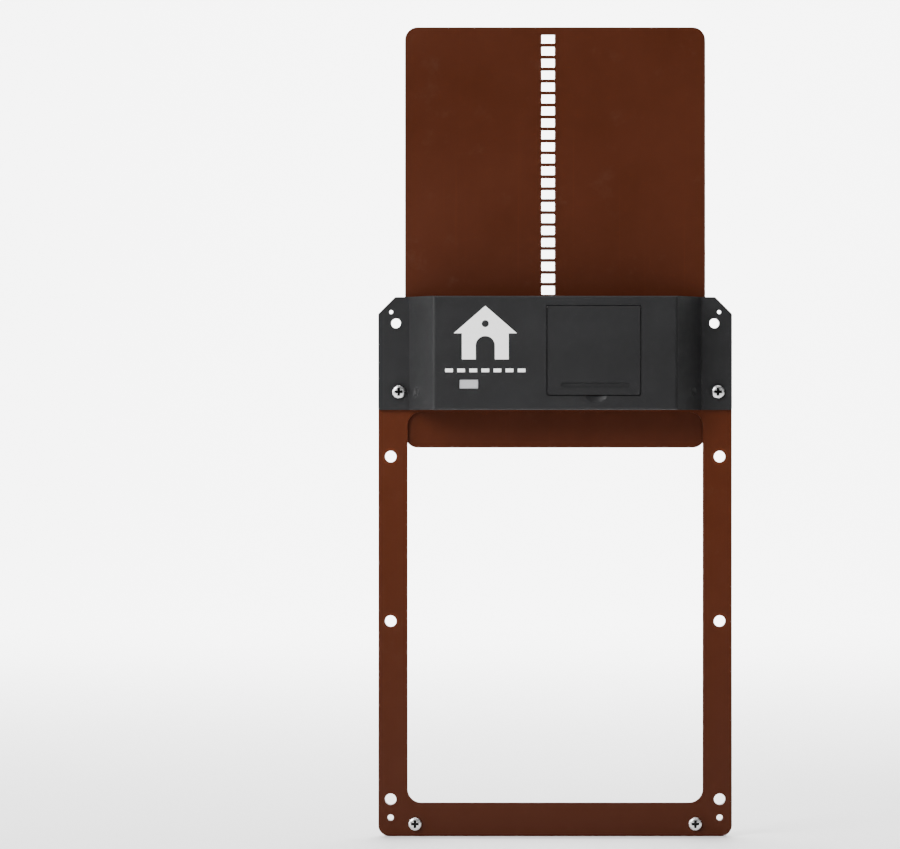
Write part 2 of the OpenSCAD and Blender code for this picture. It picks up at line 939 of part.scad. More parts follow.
module gearbox_cover() {
    color(nylon)
        difference() {
            block([gearbox_left, gearbox_front, case_bottom],
                  [gearbox_right, gearbox_split, gearbox_top]);
            block([gearbox_left + gearbox_wall, gearbox_front + 1.5, case_bottom + 2.5],
                  [gearbox_right - gearbox_wall, 0, gearbox_top - gearbox_wall]);
            translate([wheel_x, worm_y, case_bottom - 1])
                cylinder(h = 40, r = worm_shaft_r + running);
            for (p = cover_screw_places)
                bar_y(p[0], p[1], 1.1, gearbox_front - 1, gearbox_split + 1);
        }
}

module gearbox_cover_screws() {
    color(steel)
        for (p = cover_screw_places)
            pan_screw(p[0], p[1], gearbox_front, 1.4, 1.1, 0.98, 15);
}

module gearbox_mount_screws() {
    color(steel)
        for (p = mount_screw_places)
            pan_screw(p[0], p[1], foot_front, 2.7, 1.9, 1.48, 3.8);
}

module output_bushes() {
    color(bronze)
        for (x = [gearbox_left, bearing_left])
            difference() {
                bar_x(axis_y, axis_z, 3.18, x, x + gearbox_wall);
                bar_x(axis_y, axis_z, shaft_r + running, x - 1, x + 4);
            }
}

module output_shaft() {
    color(steel)
        bar_x(axis_y, axis_z, shaft_r, gearbox_left - 1.6, bearing_right + 1.6);
}

// Retaining rings outside the two bushes
module shaft_clips() {
    color(steel)
        for (x = [gearbox_left - 1, bearing_right + 0.4])
            difference() {
                bar_x(axis_y, axis_z, 2.8, x, x + 0.6);
                bar_x(axis_y, axis_z, shaft_r + 0.02, x - 1, x + 2);
            }
}

// Tooth of the sprocket: radius and half thickness, root to tip
tooth_form = [[5.0, 2.8], [7.0, 2.6], [7.8, 2.3], [8.8, 1.7], [9.5, 1.1], [tip_r, 0.5]];

module sprocket() {
    outline = concat(
        [for (p = tooth_form) p],
        [for (i = [len(tooth_form) - 1:-1:0]) [tooth_form[i][0], -tooth_form[i][1]]]
    );
    color(nylon)
        difference() {
            union() {
                translate([sprocket_x - sprocket_w / 2, axis_y, axis_z])
                    rotate([90, 0, 90])
                        linear_extrude(sprocket_w)
                            for (i = [0:sprocket_teeth - 1])
                                rotate(sprocket_turn + 360 * i / sprocket_teeth)
                                    polygon(outline);
                bar_x(axis_y, axis_z, 6.2, sprocket_x - sprocket_w / 2, sprocket_x + sprocket_w / 2);
            }
            bar_x(axis_y, axis_z, shaft_r + 0.01, -20, 5);
        }
}

function involute(rb, a) = rb * [cos(a) + a * PI / 180 * sin(a), sin(a) - a * PI / 180 * cos(a)];

// Outline of an involute gear, one tooth centred on the local X axis
function gear_points(teeth, r, tip, root, play) =
    let (rb = r * cos(20))
    let (inv20 = tan(20) * 180 / PI - 20)
    let (half = 90 / teeth + inv20 - play / r * 90 / PI)
    let (a_tip = sqrt(pow(tip / rb, 2) - 1) * 180 / PI)
    let (flank = [for (i = [0:4]) turned(involute(rb, a_tip * i / 4), -half)])
    [for (k = [0:teeth - 1])
        let (spin = 360 * k / teeth)
        each concat(
            [turned([root, 0], spin - 180 / teeth + 1.5), turned([root, 0], spin - half)],
            [for (p = flank) turned(p, spin)],
            [for (i = [4:-1:0]) turned([flank[i][0], -flank[i][1]], spin)],
            [turned([root, 0], spin + half)]
        )];

module worm_wheel() {
    lean = worm_lead / (2 * PI * worm_r);
    twist = wheel_w * lean / wheel_r * 180 / PI;
    color([0.35, 0.38, 0.40])
        difference() {
            union() {
                translate([wheel_x - wheel_w / 2, axis_y, axis_z])
                    rotate([90, 0, 90])
                        linear_extrude(wheel_w, twist = -twist, slices = 5)
                            rotate(-twist / 2)
                                polygon(gear_points(wheel_teeth, wheel_r, wheel_tip_r,
                                                    wheel_root_r, backlash));
                bar_x(axis_y, axis_z, 3.6, wheel_x - wheel_w / 2 - 2, wheel_x + wheel_w / 2);
            }
            bar_x(axis_y, axis_z, shaft_r + 0.01, -30, 0);
        }
}

// Radius of the worm's section, u turns from the middle of the thread
function worm_radius(u) =
    let (half = worm_lead / 4 - backlash / 2)
    let (away = abs(u) * worm_lead)
    max(worm_root_r, min(worm_tip_r, worm_r + (half - away) / tan(20)));

// The thread meets the wheel in a gap between two teeth
worm_phase = 90 - 180 * worm_l / worm_lead;

module worm() {
    points = 28;
    $fn = 28;
    turns = worm_l / worm_lead;
    bottom = axis_z - worm_l / 2;
    color(steel)
        translate([wheel_x, worm_y, 0]) {
            translate([0, 0, bottom])
                rotate([0, 0, worm_phase])
                    linear_extrude(worm_l, twist = -360 * turns, slices = round(turns * 16))
                        polygon([for (i = [0:points - 1])
                            let (u = i / points - 0.5)
                            worm_radius(u) * [cos(-360 * u), sin(-360 * u)]]);
            translate([0, 0, case_bottom + 0.4])
                cylinder(h = bottom - case_bottom - 0.4, r = worm_shaft_r);
            translate([0, 0, bottom + worm_l])
                cylinder(h = gearbox_top - bottom - worm_l - 0.1, r = worm_shaft_r);
        }
}

module motor_stage(low, high, r) {
    translate([wheel_x, worm_y, low])
        cylinder(h = high - low, r = r);
}

motor_base = gearbox_top + gearhead_l;
motor_top = motor_base + motor_l;

module gearhead_can() {
    color([0.6, 0.6, 0.62])
        difference() {
            union() {
                motor_stage(gearbox_top, motor_base - 0.6, motor_r);
                motor_stage(motor_base - 0.6, motor_base, motor_r - 0.4);
            }
            for (z = [gearbox_top + 3, motor_base - 4])
                difference() {
                    motor_stage(z, z + 0.5, motor_r + 1);
                    motor_stage(z - 1, z + 1, motor_r - 0.3);
                }
        }
}

module motor_can() {
    color(steel)
        difference() {
            motor_stage(motor_base, motor_top, motor_r - 0.2);
            for (s = [-1, 1])
                block([wheel_x + s * 8.6 - 1.6, worm_y - 3, motor_top - 9],
                      [wheel_x + s * 8.6 + 1.6, worm_y + 3, motor_top - 5]);
        }
}

module motor_end_cap() {
    color(black)
        union() {
            motor_stage(motor_top, motor_top + 2.4, motor_r - 0.2);
            motor_stage(motor_top + 2.4, motor_top + 3.6, 3);
        }
}

terminal_z = motor_top + 2.4;

module motor_terminals() {
    color(bronze)
        for (s = [-1, 1])
            block([wheel_x + s * 5 - 0.3, worm_y - 1.2, terminal_z],
                  [wheel_x + s * 5 + 0.3, worm_y + 1.2, terminal_z + 3.4]);
}

module motor_leads() {
    color([0.7, 0.1, 0.1])
        lead([
            [wheel_x + 5, worm_y + 1.9, terminal_z + 2],
            [wheel_x - 5, worm_y + 6.6, terminal_z + 5.4],
            [-47, worm_y + 6, 223],
            [-59.4, -22, 212.4],
            [-59.4, board_back + 1.4, 211]
        ]);
    color(black)
        lead([
            [wheel_x - 5, worm_y + 1.9, terminal_z + 2],
            [wheel_x - 9, worm_y + 6.4, terminal_z + 1],
            [-45, worm_y + 5.6, 219.4],
            [-57, -22, 211.8],
            [-57, board_back + 1.4, 211]
        ]);
}

module battery_leads() {
    for (s = [0, 1])
        color(s == 0 ? [0.7, 0.1, 0.1] : black)
            lead([
                [-1.6, -27 + s * 2.4, 233],
                [-10, -20 + s * 2.4, 236],
                [-24, -10.6 + s * 2.2, 235],
                [-37, -10.6 + s * 2.2, 217],
                [-41 - s * 2, -22, 211],
                [-41 - s * 2, board_back + 1.4, 211]
            ]);
}

front_plate();
left_rail();
right_rail();
sill_bar();
sill_buffer();
rear_bridge();
bridge_screws();
rail_rivets();
sill_screws();
housing();
housing_seal();
housing_screws();
front_print();
sensor_window();
light_sensor();
status_led();
control_board();
board_parts();
board_connectors();
board_screws();
button_switch();
open_close_button();
battery_tray();
tray_screws();
battery_cell_1();
battery_cell_2();
battery_cell_3();
battery_cell_4();
contact_springs();
contact_plates();
cover_seal();
battery_cover();
cover_hinge_pins();
gearbox_body();
gearbox_cover();
gearbox_cover_screws();
gearbox_mount_screws();
output_bushes();
output_shaft();
shaft_clips();
sprocket();
worm_wheel();
worm();
gearhead_can();
motor_can();
motor_end_cap();
motor_terminals();
motor_leads();
battery_leads();
door_panel();
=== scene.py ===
import json
import math

import bmesh
import bpy
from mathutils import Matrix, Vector


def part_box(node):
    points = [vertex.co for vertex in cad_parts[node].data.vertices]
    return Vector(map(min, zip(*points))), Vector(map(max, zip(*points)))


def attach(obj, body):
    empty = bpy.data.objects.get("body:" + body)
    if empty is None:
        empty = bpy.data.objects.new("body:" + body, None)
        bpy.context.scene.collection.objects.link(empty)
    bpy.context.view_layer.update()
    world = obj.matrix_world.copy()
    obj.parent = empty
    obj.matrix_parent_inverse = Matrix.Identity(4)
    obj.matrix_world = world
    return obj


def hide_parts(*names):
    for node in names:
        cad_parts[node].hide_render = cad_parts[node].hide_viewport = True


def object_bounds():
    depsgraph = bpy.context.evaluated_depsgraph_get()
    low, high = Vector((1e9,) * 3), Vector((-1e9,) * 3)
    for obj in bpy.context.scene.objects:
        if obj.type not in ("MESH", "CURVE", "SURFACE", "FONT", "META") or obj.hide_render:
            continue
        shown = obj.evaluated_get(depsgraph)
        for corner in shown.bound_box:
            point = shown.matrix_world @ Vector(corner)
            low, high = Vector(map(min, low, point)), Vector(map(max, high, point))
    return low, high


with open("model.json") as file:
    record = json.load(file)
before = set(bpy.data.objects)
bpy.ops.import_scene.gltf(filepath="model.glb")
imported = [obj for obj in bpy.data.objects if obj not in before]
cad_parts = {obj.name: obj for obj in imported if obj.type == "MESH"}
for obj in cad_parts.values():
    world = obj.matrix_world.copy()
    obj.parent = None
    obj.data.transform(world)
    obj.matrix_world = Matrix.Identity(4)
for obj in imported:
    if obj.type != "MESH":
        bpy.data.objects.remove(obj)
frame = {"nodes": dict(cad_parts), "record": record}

NODES = frame["nodes"]
RECORD = frame["record"]
CAD_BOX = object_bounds()


# ---------- shader helpers ----------

class Look:
    """One node material, built up by small calls."""

    def __init__(self, name, rough=0.5, metal=0.0):
        self.mat = bpy.data.materials.new(name)
        self.mat.use_nodes = True
        self.tree = self.mat.node_tree
        self.shader = self.tree.nodes["Principled BSDF"]
        self.shader.inputs["Roughness"].default_value = rough
        self.shader.inputs["Metallic"].default_value = metal
        coords = self.tree.nodes.new("ShaderNodeTexCoord")
        self.place = coords.outputs["Object"]

    def set(self, **values):
        for name, value in values.items():
            self.shader.inputs[name.replace("_", " ")].default_value = value
        return self

    def put(self, value, socket):
        """Links a node's output to the socket, or sets the socket to a plain value."""
        if isinstance(value, bpy.types.NodeSocket):
            self.tree.links.new(value, socket)
        else:
            socket.default_value = value

    def math(self, op, a, b=0.0, c=0.0):
        node = self.tree.nodes.new("ShaderNodeMath")
        node.operation = op
        for value, socket in zip((a, b, c), node.inputs):
            self.put(value, socket)
        return node.outputs[0]

    def ramp(self, value, low, high, to_low=0.0, to_high=1.0):
        """Turns low to high into to_low to to_high, smoothly, and holds it beyond them."""
        node = self.tree.nodes.new("ShaderNodeMapRange")
        node.interpolation_type = "SMOOTHSTEP"
        names = ("Value", "From Min", "From Max", "To Min", "To Max")
        for name, setting in zip(names, (value, low, high, to_low, to_high)):
            self.put(setting, node.inputs[name])
        return node.outputs["Result"]

    def stretch(self, scale):
        """Coordinates squeezed along each axis, so that a pattern runs out into lines."""
        node = self.tree.nodes.new("ShaderNodeMapping")
        self.tree.links.new(self.place, node.inputs["Vector"])
        node.inputs["Scale"].default_value = scale
        return node.outputs["Vector"]

    def axis(self, which):
        """The coordinate along X, Y or Z, in metres."""
        node = self.tree.nodes.new("ShaderNodeSeparateXYZ")
        self.tree.links.new(self.place, node.inputs[0])
        return node.outputs[which]

    def noise(self, scale, detail=3.0, rough=0.55, vector=None):
        node = self.tree.nodes.new("ShaderNodeTexNoise")
        self.tree.links.new(vector or self.place, node.inputs["Vector"])
        node.inputs["Scale"].default_value = scale
        node.inputs["Detail"].default_value = detail
        node.inputs["Roughness"].default_value = rough
        return node.outputs["Fac"]

    def cells(self, scale, feature="F1"):
        node = self.tree.nodes.new("ShaderNodeTexVoronoi")
        node.feature = feature
        self.tree.links.new(self.place, node.inputs["Vector"])
        node.inputs["Scale"].default_value = scale
        return node.outputs["Distance"]

    def mix(self, share, a, b):
        """Colour that goes from a to b as share goes from 0 to 1."""
        node = self.tree.nodes.new("ShaderNodeMix")
        node.data_type = "RGBA"
        for value, name in zip((share, a, b), ("Factor", "A", "B")):
            socket = [s for s in node.inputs if s.name == name and s.enabled][0]
            if isinstance(value, tuple):
                value = (*value, 1.0)
            self.put(value, socket)
        return [s for s in node.outputs if s.enabled][0]

    def colour(self, value):
        self.tree.links.new(value, self.shader.inputs["Base Color"])
        return self

    def roughness(self, value):
        self.tree.links.new(value, self.shader.inputs["Roughness"])
        return self

    def metallic(self, value):
        self.tree.links.new(value, self.shader.inputs["Metallic"])
        return self

    def bump(self, height, strength, distance):
        node = self.tree.nodes.new("ShaderNodeBump")
        node.inputs["Strength"].default_value = strength
        node.inputs["Distance"].default_value = distance
        self.tree.links.new(height, node.inputs["Height"])
        self.tree.links.new(node.outputs["Normal"], self.shader.inputs["Normal"])
        return self

    def near(self, points, radius, soft):
        """1 within radius of any of these points in the front view, fading to 0 over soft."""
        x, z = self.axis("X"), self.axis("Z")
        best = None
        for px, pz in points:
            dx = self.math("SUBTRACT", x, px)
            dz = self.math("SUBTRACT", z, pz)
            square = self.math("MULTIPLY_ADD", dx, dx, self.math("MULTIPLY", dz, dz))
            away = self.math("SQRT", square)
            best = away if best is None else self.math("MINIMUM", best, away)
        return self.ramp(best, radius, radius + soft, 1.0, 0.0)


def tinted(base, gain):
    """The colour, lighter or darker by a factor."""
    return tuple(min(1.0, c * gain) for c in base)


# ---------- places that the looks depend on ----------

def pattern(name):
    """Centres of a stated hole pattern in the front view."""
    mount = next(m for m in RECORD["mounts"] if m["name"] == name)
    x, _, z = mount["pos_m"]
    dx = mount["dims"]["spacing_x_mm"] / 2000
    dz = mount["dims"].get("spacing_y_mm", 0) / 2000
    rows = (-1, 1) if dz else (0,)
    return [(x + sx * dx, z + sz * dz) for sx in (-1, 1) for sz in rows]


def halves(node):
    """Centres, in the front view, of a node made of a left and a right round piece."""
    low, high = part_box(node)
    r = (high.z - low.z) / 2
    z = (low.z + high.z) / 2
    return [(low.x + r, z), (high.x - r, z)]


WALL_HOLES = [p for n in ("wall_holes", "mid_holes", "head_holes") for p in pattern(n)]
FLANGE_SCREWS = halves("housing_screws")
SILL_SCREWS = halves("sill_screws")


# ---------- materials ----------

BROWN = (0.050, 0.0100, 0.0022)
GREY = (0.0138, 0.0138, 0.0145)
DUST = (0.20, 0.14, 0.11)
# Painted shade laid into the screws' driver recesses
RECESS_SHADE = (0.012, 0.012, 0.012)

# Radius of the worn ring round a fixing in the paint and in the plastic, and how far it fades
PAINT_WEAR = (0.0052, 0.0022)
PLASTIC_WEAR = (0.0055, 0.003)
# Heights between which painted shade darkens the front plate towards its foot
PLATE_SHADE_FADE = (-0.15, 0.15)
# Radius of a screw's driver recess, and its depths behind the front of the head: painted shade
# fills the recess between these depths
RECESS_RADIUS = 0.0031
RECESS_TOP = (0.0004, 0.0006)
RECESS_FLOOR = (0.0026, 0.0027)


def powder_coat(name, worn_points=(), streaks=False, base=BROWN, foot_shade_gain=1.0):
    """Satin brown powder coat with orange peel, dust and worn rings round the fixings.

    The last argument is the factor on the colour at the foot of the piece, as painted shade."""
    m = Look(name, 0.42)
    cloud = m.noise(7, 4, 0.6)
    fleck = m.noise(1400, 2, 0.5)
    tone = m.mix(m.ramp(cloud, 0.3, 0.7), tinted(base, 0.93), tinted(base, 1.08))
    tone = m.mix(m.ramp(fleck, 0.62, 0.78, 0.0, 0.35), tone, tinted(base, 1.9))
    gloss = m.ramp(cloud, 0.25, 0.75, 0.36, 0.5)
    dust = m.ramp(m.noise(38, 6, 0.7), 0.56, 0.8, 0.0, 0.05)
    tone = m.mix(dust, tone, DUST)
    if worn_points:
        ring = m.near(worn_points, *PAINT_WEAR)
        chips = m.ramp(m.noise(900, 3, 0.7), 0.42, 0.6)
        worn = m.math("MULTIPLY", ring, chips)
        tone = m.mix(m.math("MULTIPLY", worn, 0.35), tone, tinted(base, 2.6))
        gloss = m.math("ADD", gloss, m.math("MULTIPLY", ring, 0.08))
    # Painted shade: the colour darkens towards the foot of the piece
    if foot_shade_gain != 1:
        tone = m.mix(m.ramp(m.axis("Z"), *PLATE_SHADE_FADE), tinted(base, foot_shade_gain), tone)
    if streaks:
        fine = m.noise(1, 3, 0.6, m.stretch((620, 40, 5)))
        rub = m.ramp(fine, 0.6, 0.74, 0.0, 0.20)
        tone = m.mix(rub, tone, tinted(base, 1.7))
        gloss = m.math("ADD", gloss, m.math("MULTIPLY", rub, 0.3))
    m.colour(tone).roughness(gloss)
    peel = m.noise(850, 3, 0.5)
    m.bump(peel, 0.16, 0.0002)
    m.set(Specular_IOR_Level=0.12)
    return m.mat


def moulded(name, base, rough=0.5, grain=1500, rubbed=(), strength=0.3, **extra):
    """Spark-textured moulded plastic with faint flow marks and rubbed patches.

    grain is the number of sparks in a metre; extra holds more settings of the shader."""
    m = Look(name, rough)
    cloud = m.noise(9, 3, 0.5, m.stretch((1, 1, 2.4)))
    tone = m.mix(m.ramp(cloud, 0.3, 0.7), tinted(base, 0.9), tinted(base, 1.12))
    speck = m.ramp(m.noise(2600, 2, 0.5), 0.64, 0.8, 0.0, 0.25)
    tone = m.mix(speck, tone, tinted(base, 1.7))
    gloss = m.ramp(m.noise(60, 4, 0.6), 0.3, 0.7, rough - 0.05, rough + 0.06)
    if rubbed:
        patch = m.near(rubbed, *PLASTIC_WEAR)
        gloss = m.math("SUBTRACT", gloss, m.math("MULTIPLY", patch, 0.14))
        tone = m.mix(m.math("MULTIPLY", patch, 0.3), tone, tinted(base, 0.6))
    m.colour(tone).roughness(gloss)
    m.bump(m.cells(grain, "SMOOTH_F1"), strength, 0.0001)
    m.set(**extra)
    return m.mat


def metal(name, base, rough, brush, tarnish, recess=()):
    """Metal with a brushed or drawn finish and light tarnish.

    brush is the number of marks in a metre along X, Y and Z. recess holds pairs of the
    centres of some screws and the front of their heads: painted shade darkens their recesses."""
    m = Look(name, rough, 1.0)
    lines = m.noise(1, 4, 0.6, m.stretch(brush))
    stain = m.ramp(m.noise(160, 5, 0.65), 0.5, 0.8, 0.0, tarnish)
    tone = m.mix(stain, base, tinted(base, 0.45))
    # Painted shade: each screw's driver recess is darkened where its own shade falls
    for centres, front in recess:
        inside = m.near(centres, RECESS_RADIUS, 0.0001)
        below_top = m.ramp(m.axis("Y"), *(front + depth for depth in RECESS_TOP))
        above_floor = m.ramp(m.axis("Y"), *(front + depth for depth in RECESS_FLOOR), 1.0, 0.0)
        recess_shade = m.math("MULTIPLY", m.math("MULTIPLY", inside, below_top), above_floor)
        tone = m.mix(recess_shade, tone, RECESS_SHADE)
    m.colour(tone)
    m.roughness(m.ramp(lines, 0.25, 0.75, max(0.05, rough - 0.08), rough + 0.12))
    m.bump(lines, 0.15, 0.00004)
    return m.mat


def rubber(name):
    """Matt moulded rubber with a pale bloom."""
    base = (0.018, 0.018, 0.019)
    m = Look(name, 0.8)
    bloom = m.ramp(m.noise(120, 5, 0.65), 0.5, 0.8, 0.0, 0.3)
    m.colour(m.mix(bloom, base, tinted(base, 2.6)))
    m.roughness(m.ramp(m.noise(500, 3), 0.3, 0.7, 0.7, 0.92))
    m.bump(m.noise(1800, 3), 0.3, 0.0001)
    return m.mat


def print_ink(name):
    """White pad print: slightly uneven, with a few pinholes over dark plastic."""
    m = Look(name, 0.55)
    film = m.ramp(m.noise(300, 4, 0.6), 0.3, 0.7)
    tone = m.mix(film, (0.94, 0.94, 0.93), (0.98, 0.98, 0.975))
    pin = m.ramp(m.noise(1500, 2, 0.5), 0.74, 0.8, 0.0, 0.6)
    m.colour(m.mix(pin, tone, (0.3, 0.3, 0.3)))
    m.bump(m.noise(2200, 2), 0.12, 0.00005)
    return m.mat


def ribbed_window(name):
    """Milky window with fine crossed ribs on its inner face."""
    pitch = 0.0011
    m = Look(name, 0.28)
    ribs = m.math("SINE", m.math("MULTIPLY", m.axis("X"), 2 * math.pi / pitch))
    rows = m.math("SINE", m.math("MULTIPLY", m.axis("Z"), 2 * math.pi / pitch))
    height = m.math("MULTIPLY", ribs, rows)
    m.colour(m.mix(m.ramp(height, -1, 1), (0.36, 0.37, 0.38), (0.60, 0.61, 0.62)))
    m.bump(height, 0.35, 0.00015)
    m.set(Transmission_Weight=0.15, IOR=1.49, Coat_Weight=0.3, Coat_Roughness=0.1)
    return m.mat


def resin(name, base):
    """Clear cast resin, tinted and faintly cloudy."""
    m = Look(name, 0.15)
    cloud = m.ramp(m.noise(500, 3), 0.3, 0.7)
    m.colour(m.mix(cloud, tinted(base, 0.8), tinted(base, 1.1)))
    m.bump(m.noise(1500, 2), 0.05, 0.00005)
    m.set(Transmission_Weight=0.35, IOR=1.5, Coat_Weight=0.5)
    return m.mat


def circuit_laminate(name):
    """Green solder mask with raised traces and bare pads."""
    m = Look(name, 0.32)
    base = (0.008, 0.085, 0.035)
    lines = m.ramp(m.cells(210, "DISTANCE_TO_EDGE"), 0.05, 0.09, 1.0, 0.0)
    pads = m.ramp(m.cells(330), 0.10, 0.13, 1.0, 0.0)
    tone = m.mix(lines, base, (0.02, 0.16, 0.07))
    tone = m.mix(pads, tone, (0.55, 0.45, 0.22))
    m.colour(tone)
    m.roughness(m.ramp(m.noise(400, 3), 0.3, 0.7, 0.25, 0.4))
    m.bump(m.math("MAXIMUM", lines, pads), 0.4, 0.00006)
    return m.mat


def cell_jacket(name):
    """Green jacket with a copper-coloured band near each end, and bare steel ends."""
    bare = 0.0017
    band_at, band_half = 0.017, 0.0045
    # Cells 1 and 3 stand upright and 2 and 4 are turned over: the jacket is centred on the row
    low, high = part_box("battery_cell_2")[0].z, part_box("battery_cell_1")[1].z
    middle = (low + high) / 2
    reach = (high - low) / 2 - bare
    m = Look(name, 0.3)
    away = m.math("ABSOLUTE", m.math("SUBTRACT", m.axis("Z"), middle))
    ends = m.ramp(away, reach - 0.0004, reach)
    scuff = m.ramp(m.noise(90, 3, 0.5), 0.58, 0.75, 0.0, 0.15)
    tone = m.mix(scuff, (0.012, 0.10, 0.05), (0.05, 0.16, 0.10))
    from_band = m.math("ABSOLUTE", m.math("SUBTRACT", away, band_at))
    band = m.ramp(from_band, band_half, band_half + 0.0003, 1.0, 0.0)
    tone = m.mix(band, tone, (0.42, 0.19, 0.06))
    m.colour(m.mix(ends, tone, (0.62, 0.62, 0.60)))
    m.metallic(m.math("MAXIMUM", ends, m.math("MULTIPLY", band, 0.8)))
    m.roughness(m.ramp(m.noise(90, 3), 0.3, 0.7, 0.26, 0.36))
    m.bump(m.noise(400, 2), 0.02, 0.00005)
    return m.mat


def sheath(name, base):
    """Soft cable insulation, slightly uneven in tone and gloss."""
    m = Look(name, 0.42)
    cloud = m.ramp(m.noise(260, 4), 0.3, 0.7)
    m.colour(m.mix(cloud, tinted(base, 0.8), tinted(base, 1.15)))
    m.roughness(m.ramp(m.noise(700, 3), 0.3, 0.7, 0.34, 0.52))
    m.bump(m.noise(1500, 2), 0.12, 0.00006)
    return m.mat


FIXINGS = WALL_HOLES + SILL_SCREWS
# Centres of the screws with a cross recess, and the front of their heads, for the painted shade in
# their recesses
CROSS_HEADS = [
    (FLANGE_SCREWS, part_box("housing_screws")[0].y),
    (SILL_SCREWS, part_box("sill_screws")[0].y),
]
# The look of each node, and below it the nodes that share another one's
LOOKS = {
    # The coat is one brown paint: the plate's lighter base is painted light, and the rails' darker
    # base is painted shade
    "front_plate": powder_coat(
        "coat_plate", worn_points=FIXINGS, base=tinted(BROWN, 1.12), foot_shade_gain=0.72),
    "left_rail": powder_coat("coat_rails", base=tinted(BROWN, 0.9)),
    "door_panel": powder_coat("coat_panel", streaks=True, base=tinted(BROWN, 0.92)),
    "housing": moulded(
        "housing_grain", GREY, 0.46, rubbed=FLANGE_SCREWS, Specular_IOR_Level=0.16),
    "battery_cover": moulded("cover_grain", tinted(GREY, 0.94), 0.5, Specular_IOR_Level=0.16),
    "housing_screws": metal(
        "bright_screws", (0.80, 0.80, 0.80), 0.24, (500, 60, 500), 0.2, recess=CROSS_HEADS),
    "rear_bridge": metal("zinc_strap", (0.36, 0.37, 0.38), 0.42, (20, 300, 700), 0.35),
    "bridge_screws": metal("zinc_screws", (0.44, 0.44, 0.42), 0.34, (400, 400, 400), 0.3),
    "output_shaft": metal("ground_steel", (0.62, 0.62, 0.63), 0.22, (1600, 60, 60), 0.1),
    "cover_hinge_pins": metal("dull_pins", (0.10, 0.10, 0.10), 0.5, (1600, 60, 60), 0.1),
    "worm": metal("cut_steel", (0.55, 0.55, 0.56), 0.25, (200, 200, 1500), 0.12),
    "motor_can": metal("drawn_can", (0.52, 0.53, 0.55), 0.3, (500, 500, 25), 0.12),
    "output_bushes": metal(
        "sintered_bronze", (0.55, 0.33, 0.13), 0.42, (1300, 1300, 1300), 0.4),
    "motor_terminals": metal("tinned_brass", (0.66, 0.55, 0.30), 0.3, (300, 300, 300), 0.2),
    "contact_plates": metal("nickel_tabs", (0.66, 0.65, 0.62), 0.25, (700, 700, 60), 0.15),
    "housing_seal": rubber("gasket_rubber"),
    "front_print": print_ink("white_ink"),
    "sensor_window": ribbed_window("window_ribs"),
    "light_sensor": resin("sensor_resin", (0.75, 0.55, 0.2)),
    "status_led": resin("led_resin", (0.6, 0.03, 0.02)),
    "control_board": circuit_laminate("green_laminate"),
    "board_parts": moulded("chip_epoxy", (0.02, 0.02, 0.022), 0.6, 2600),
    "board_connectors": moulded(
        "socket_nylon", (0.62, 0.61, 0.55), 0.45, 2000, strength=0.15),
    "gearbox_body": moulded(
        "gearbox_nylon", (0.60, 0.59, 0.53), 0.45, 1700, strength=0.15, Subsurface_Weight=0.08),
    "sprocket": moulded(
        "gear_nylon", (0.66, 0.65, 0.60), 0.4, 1900, strength=0.12, Subsurface_Weight=0.08),
    "worm_wheel": moulded("filled_nylon", (0.03, 0.032, 0.036), 0.42, 2200),
    "battery_tray": moulded("tray_black", (0.016, 0.016, 0.017), 0.48),
    "open_close_button": moulded("button_red", (0.42, 0.02, 0.012), 0.35, 2400, strength=0.1),
    "battery_cell_1": cell_jacket("cell_print"),
    "motor_leads": sheath("lead_red", (0.38, 0.012, 0.012)),
}
SAME_LOOK = {
    "left_rail": ["right_rail", "sill_bar", "rail_rivets"],
    "housing_screws": ["sill_screws"],
    "bridge_screws": [
        "board_screws", "tray_screws", "gearbox_cover_screws", "gearbox_mount_screws"],
    "output_shaft": ["shaft_clips"],
    "motor_can": ["gearhead_can"],
    "contact_plates": ["contact_springs"],
    "housing_seal": ["sill_buffer", "cover_seal"],
    "gearbox_body": ["gearbox_cover"],
    "board_parts": ["button_switch", "motor_end_cap"],
    "battery_cell_1": ["battery_cell_2", "battery_cell_3", "battery_cell_4"],
    "motor_leads": ["battery_leads"],
}


def dress(mesh, material):
    """Gives the whole mesh one material."""
    mesh.materials.clear()
    mesh.materials.append(material)


for first, material in LOOKS.items():
    for node in [first, *SAME_LOOK.get(first, [])]:
        dress(NODES[node].data, material)


# ---------- edges of the CAD pieces ----------

# An edge that turns by more than this stays sharp
SHARP_ANGLE = math.radians(32)


def shade_smooth(mesh):
    mesh.polygons.foreach_set("use_smooth", [True] * len(mesh.polygons))


def soften(node, width):
    """Shades a node smooth between its sharp edges, and rounds these by width where it has one."""
    o = NODES[node]
    weld = o.modifiers.new("weld", "WELD")
    weld.merge_threshold = 1e-6
    if width:
        bevel = o.modifiers.new("edge", "BEVEL")
        bevel.width = width
        bevel.segments = 2
        bevel.limit_method = "ANGLE"
        bevel.angle_limit = SHARP_ANGLE
        bevel.use_clamp_overlap = True
    shade_smooth(o.data)
    o.data.set_sharp_from_angle(angle=SHARP_ANGLE)
    even = o.modifiers.new("even", "WEIGHTED_NORMAL")
    even.mode = "FACE_AREA"
    even.weight = 100
    even.keep_sharp = not width


# Width of the rounded edges, in metres; a node that isn't here keeps its sharp edges
EDGE = {
    "front_plate": 0.0003, "door_panel": 0.00025, "left_rail": 0.0003, "right_rail": 0.0003,
    "sill_bar": 0.0003, "housing": 0.0003, "battery_cover": 0.0005,
    "sensor_window": 0.00012, "sill_buffer": 0.0004, "gearbox_body": 0.0003,
    "gearbox_cover": 0.0003, "battery_tray": 0.0003,
}
for node in NODES:
    soften(node, EDGE.get(node, 0))


# ---------- pieces that stand for CAD nodes ----------

def new_object(name, data):
    o = bpy.data.objects.new(name, data)
    bpy.context.scene.collection.objects.link(o)
    return o


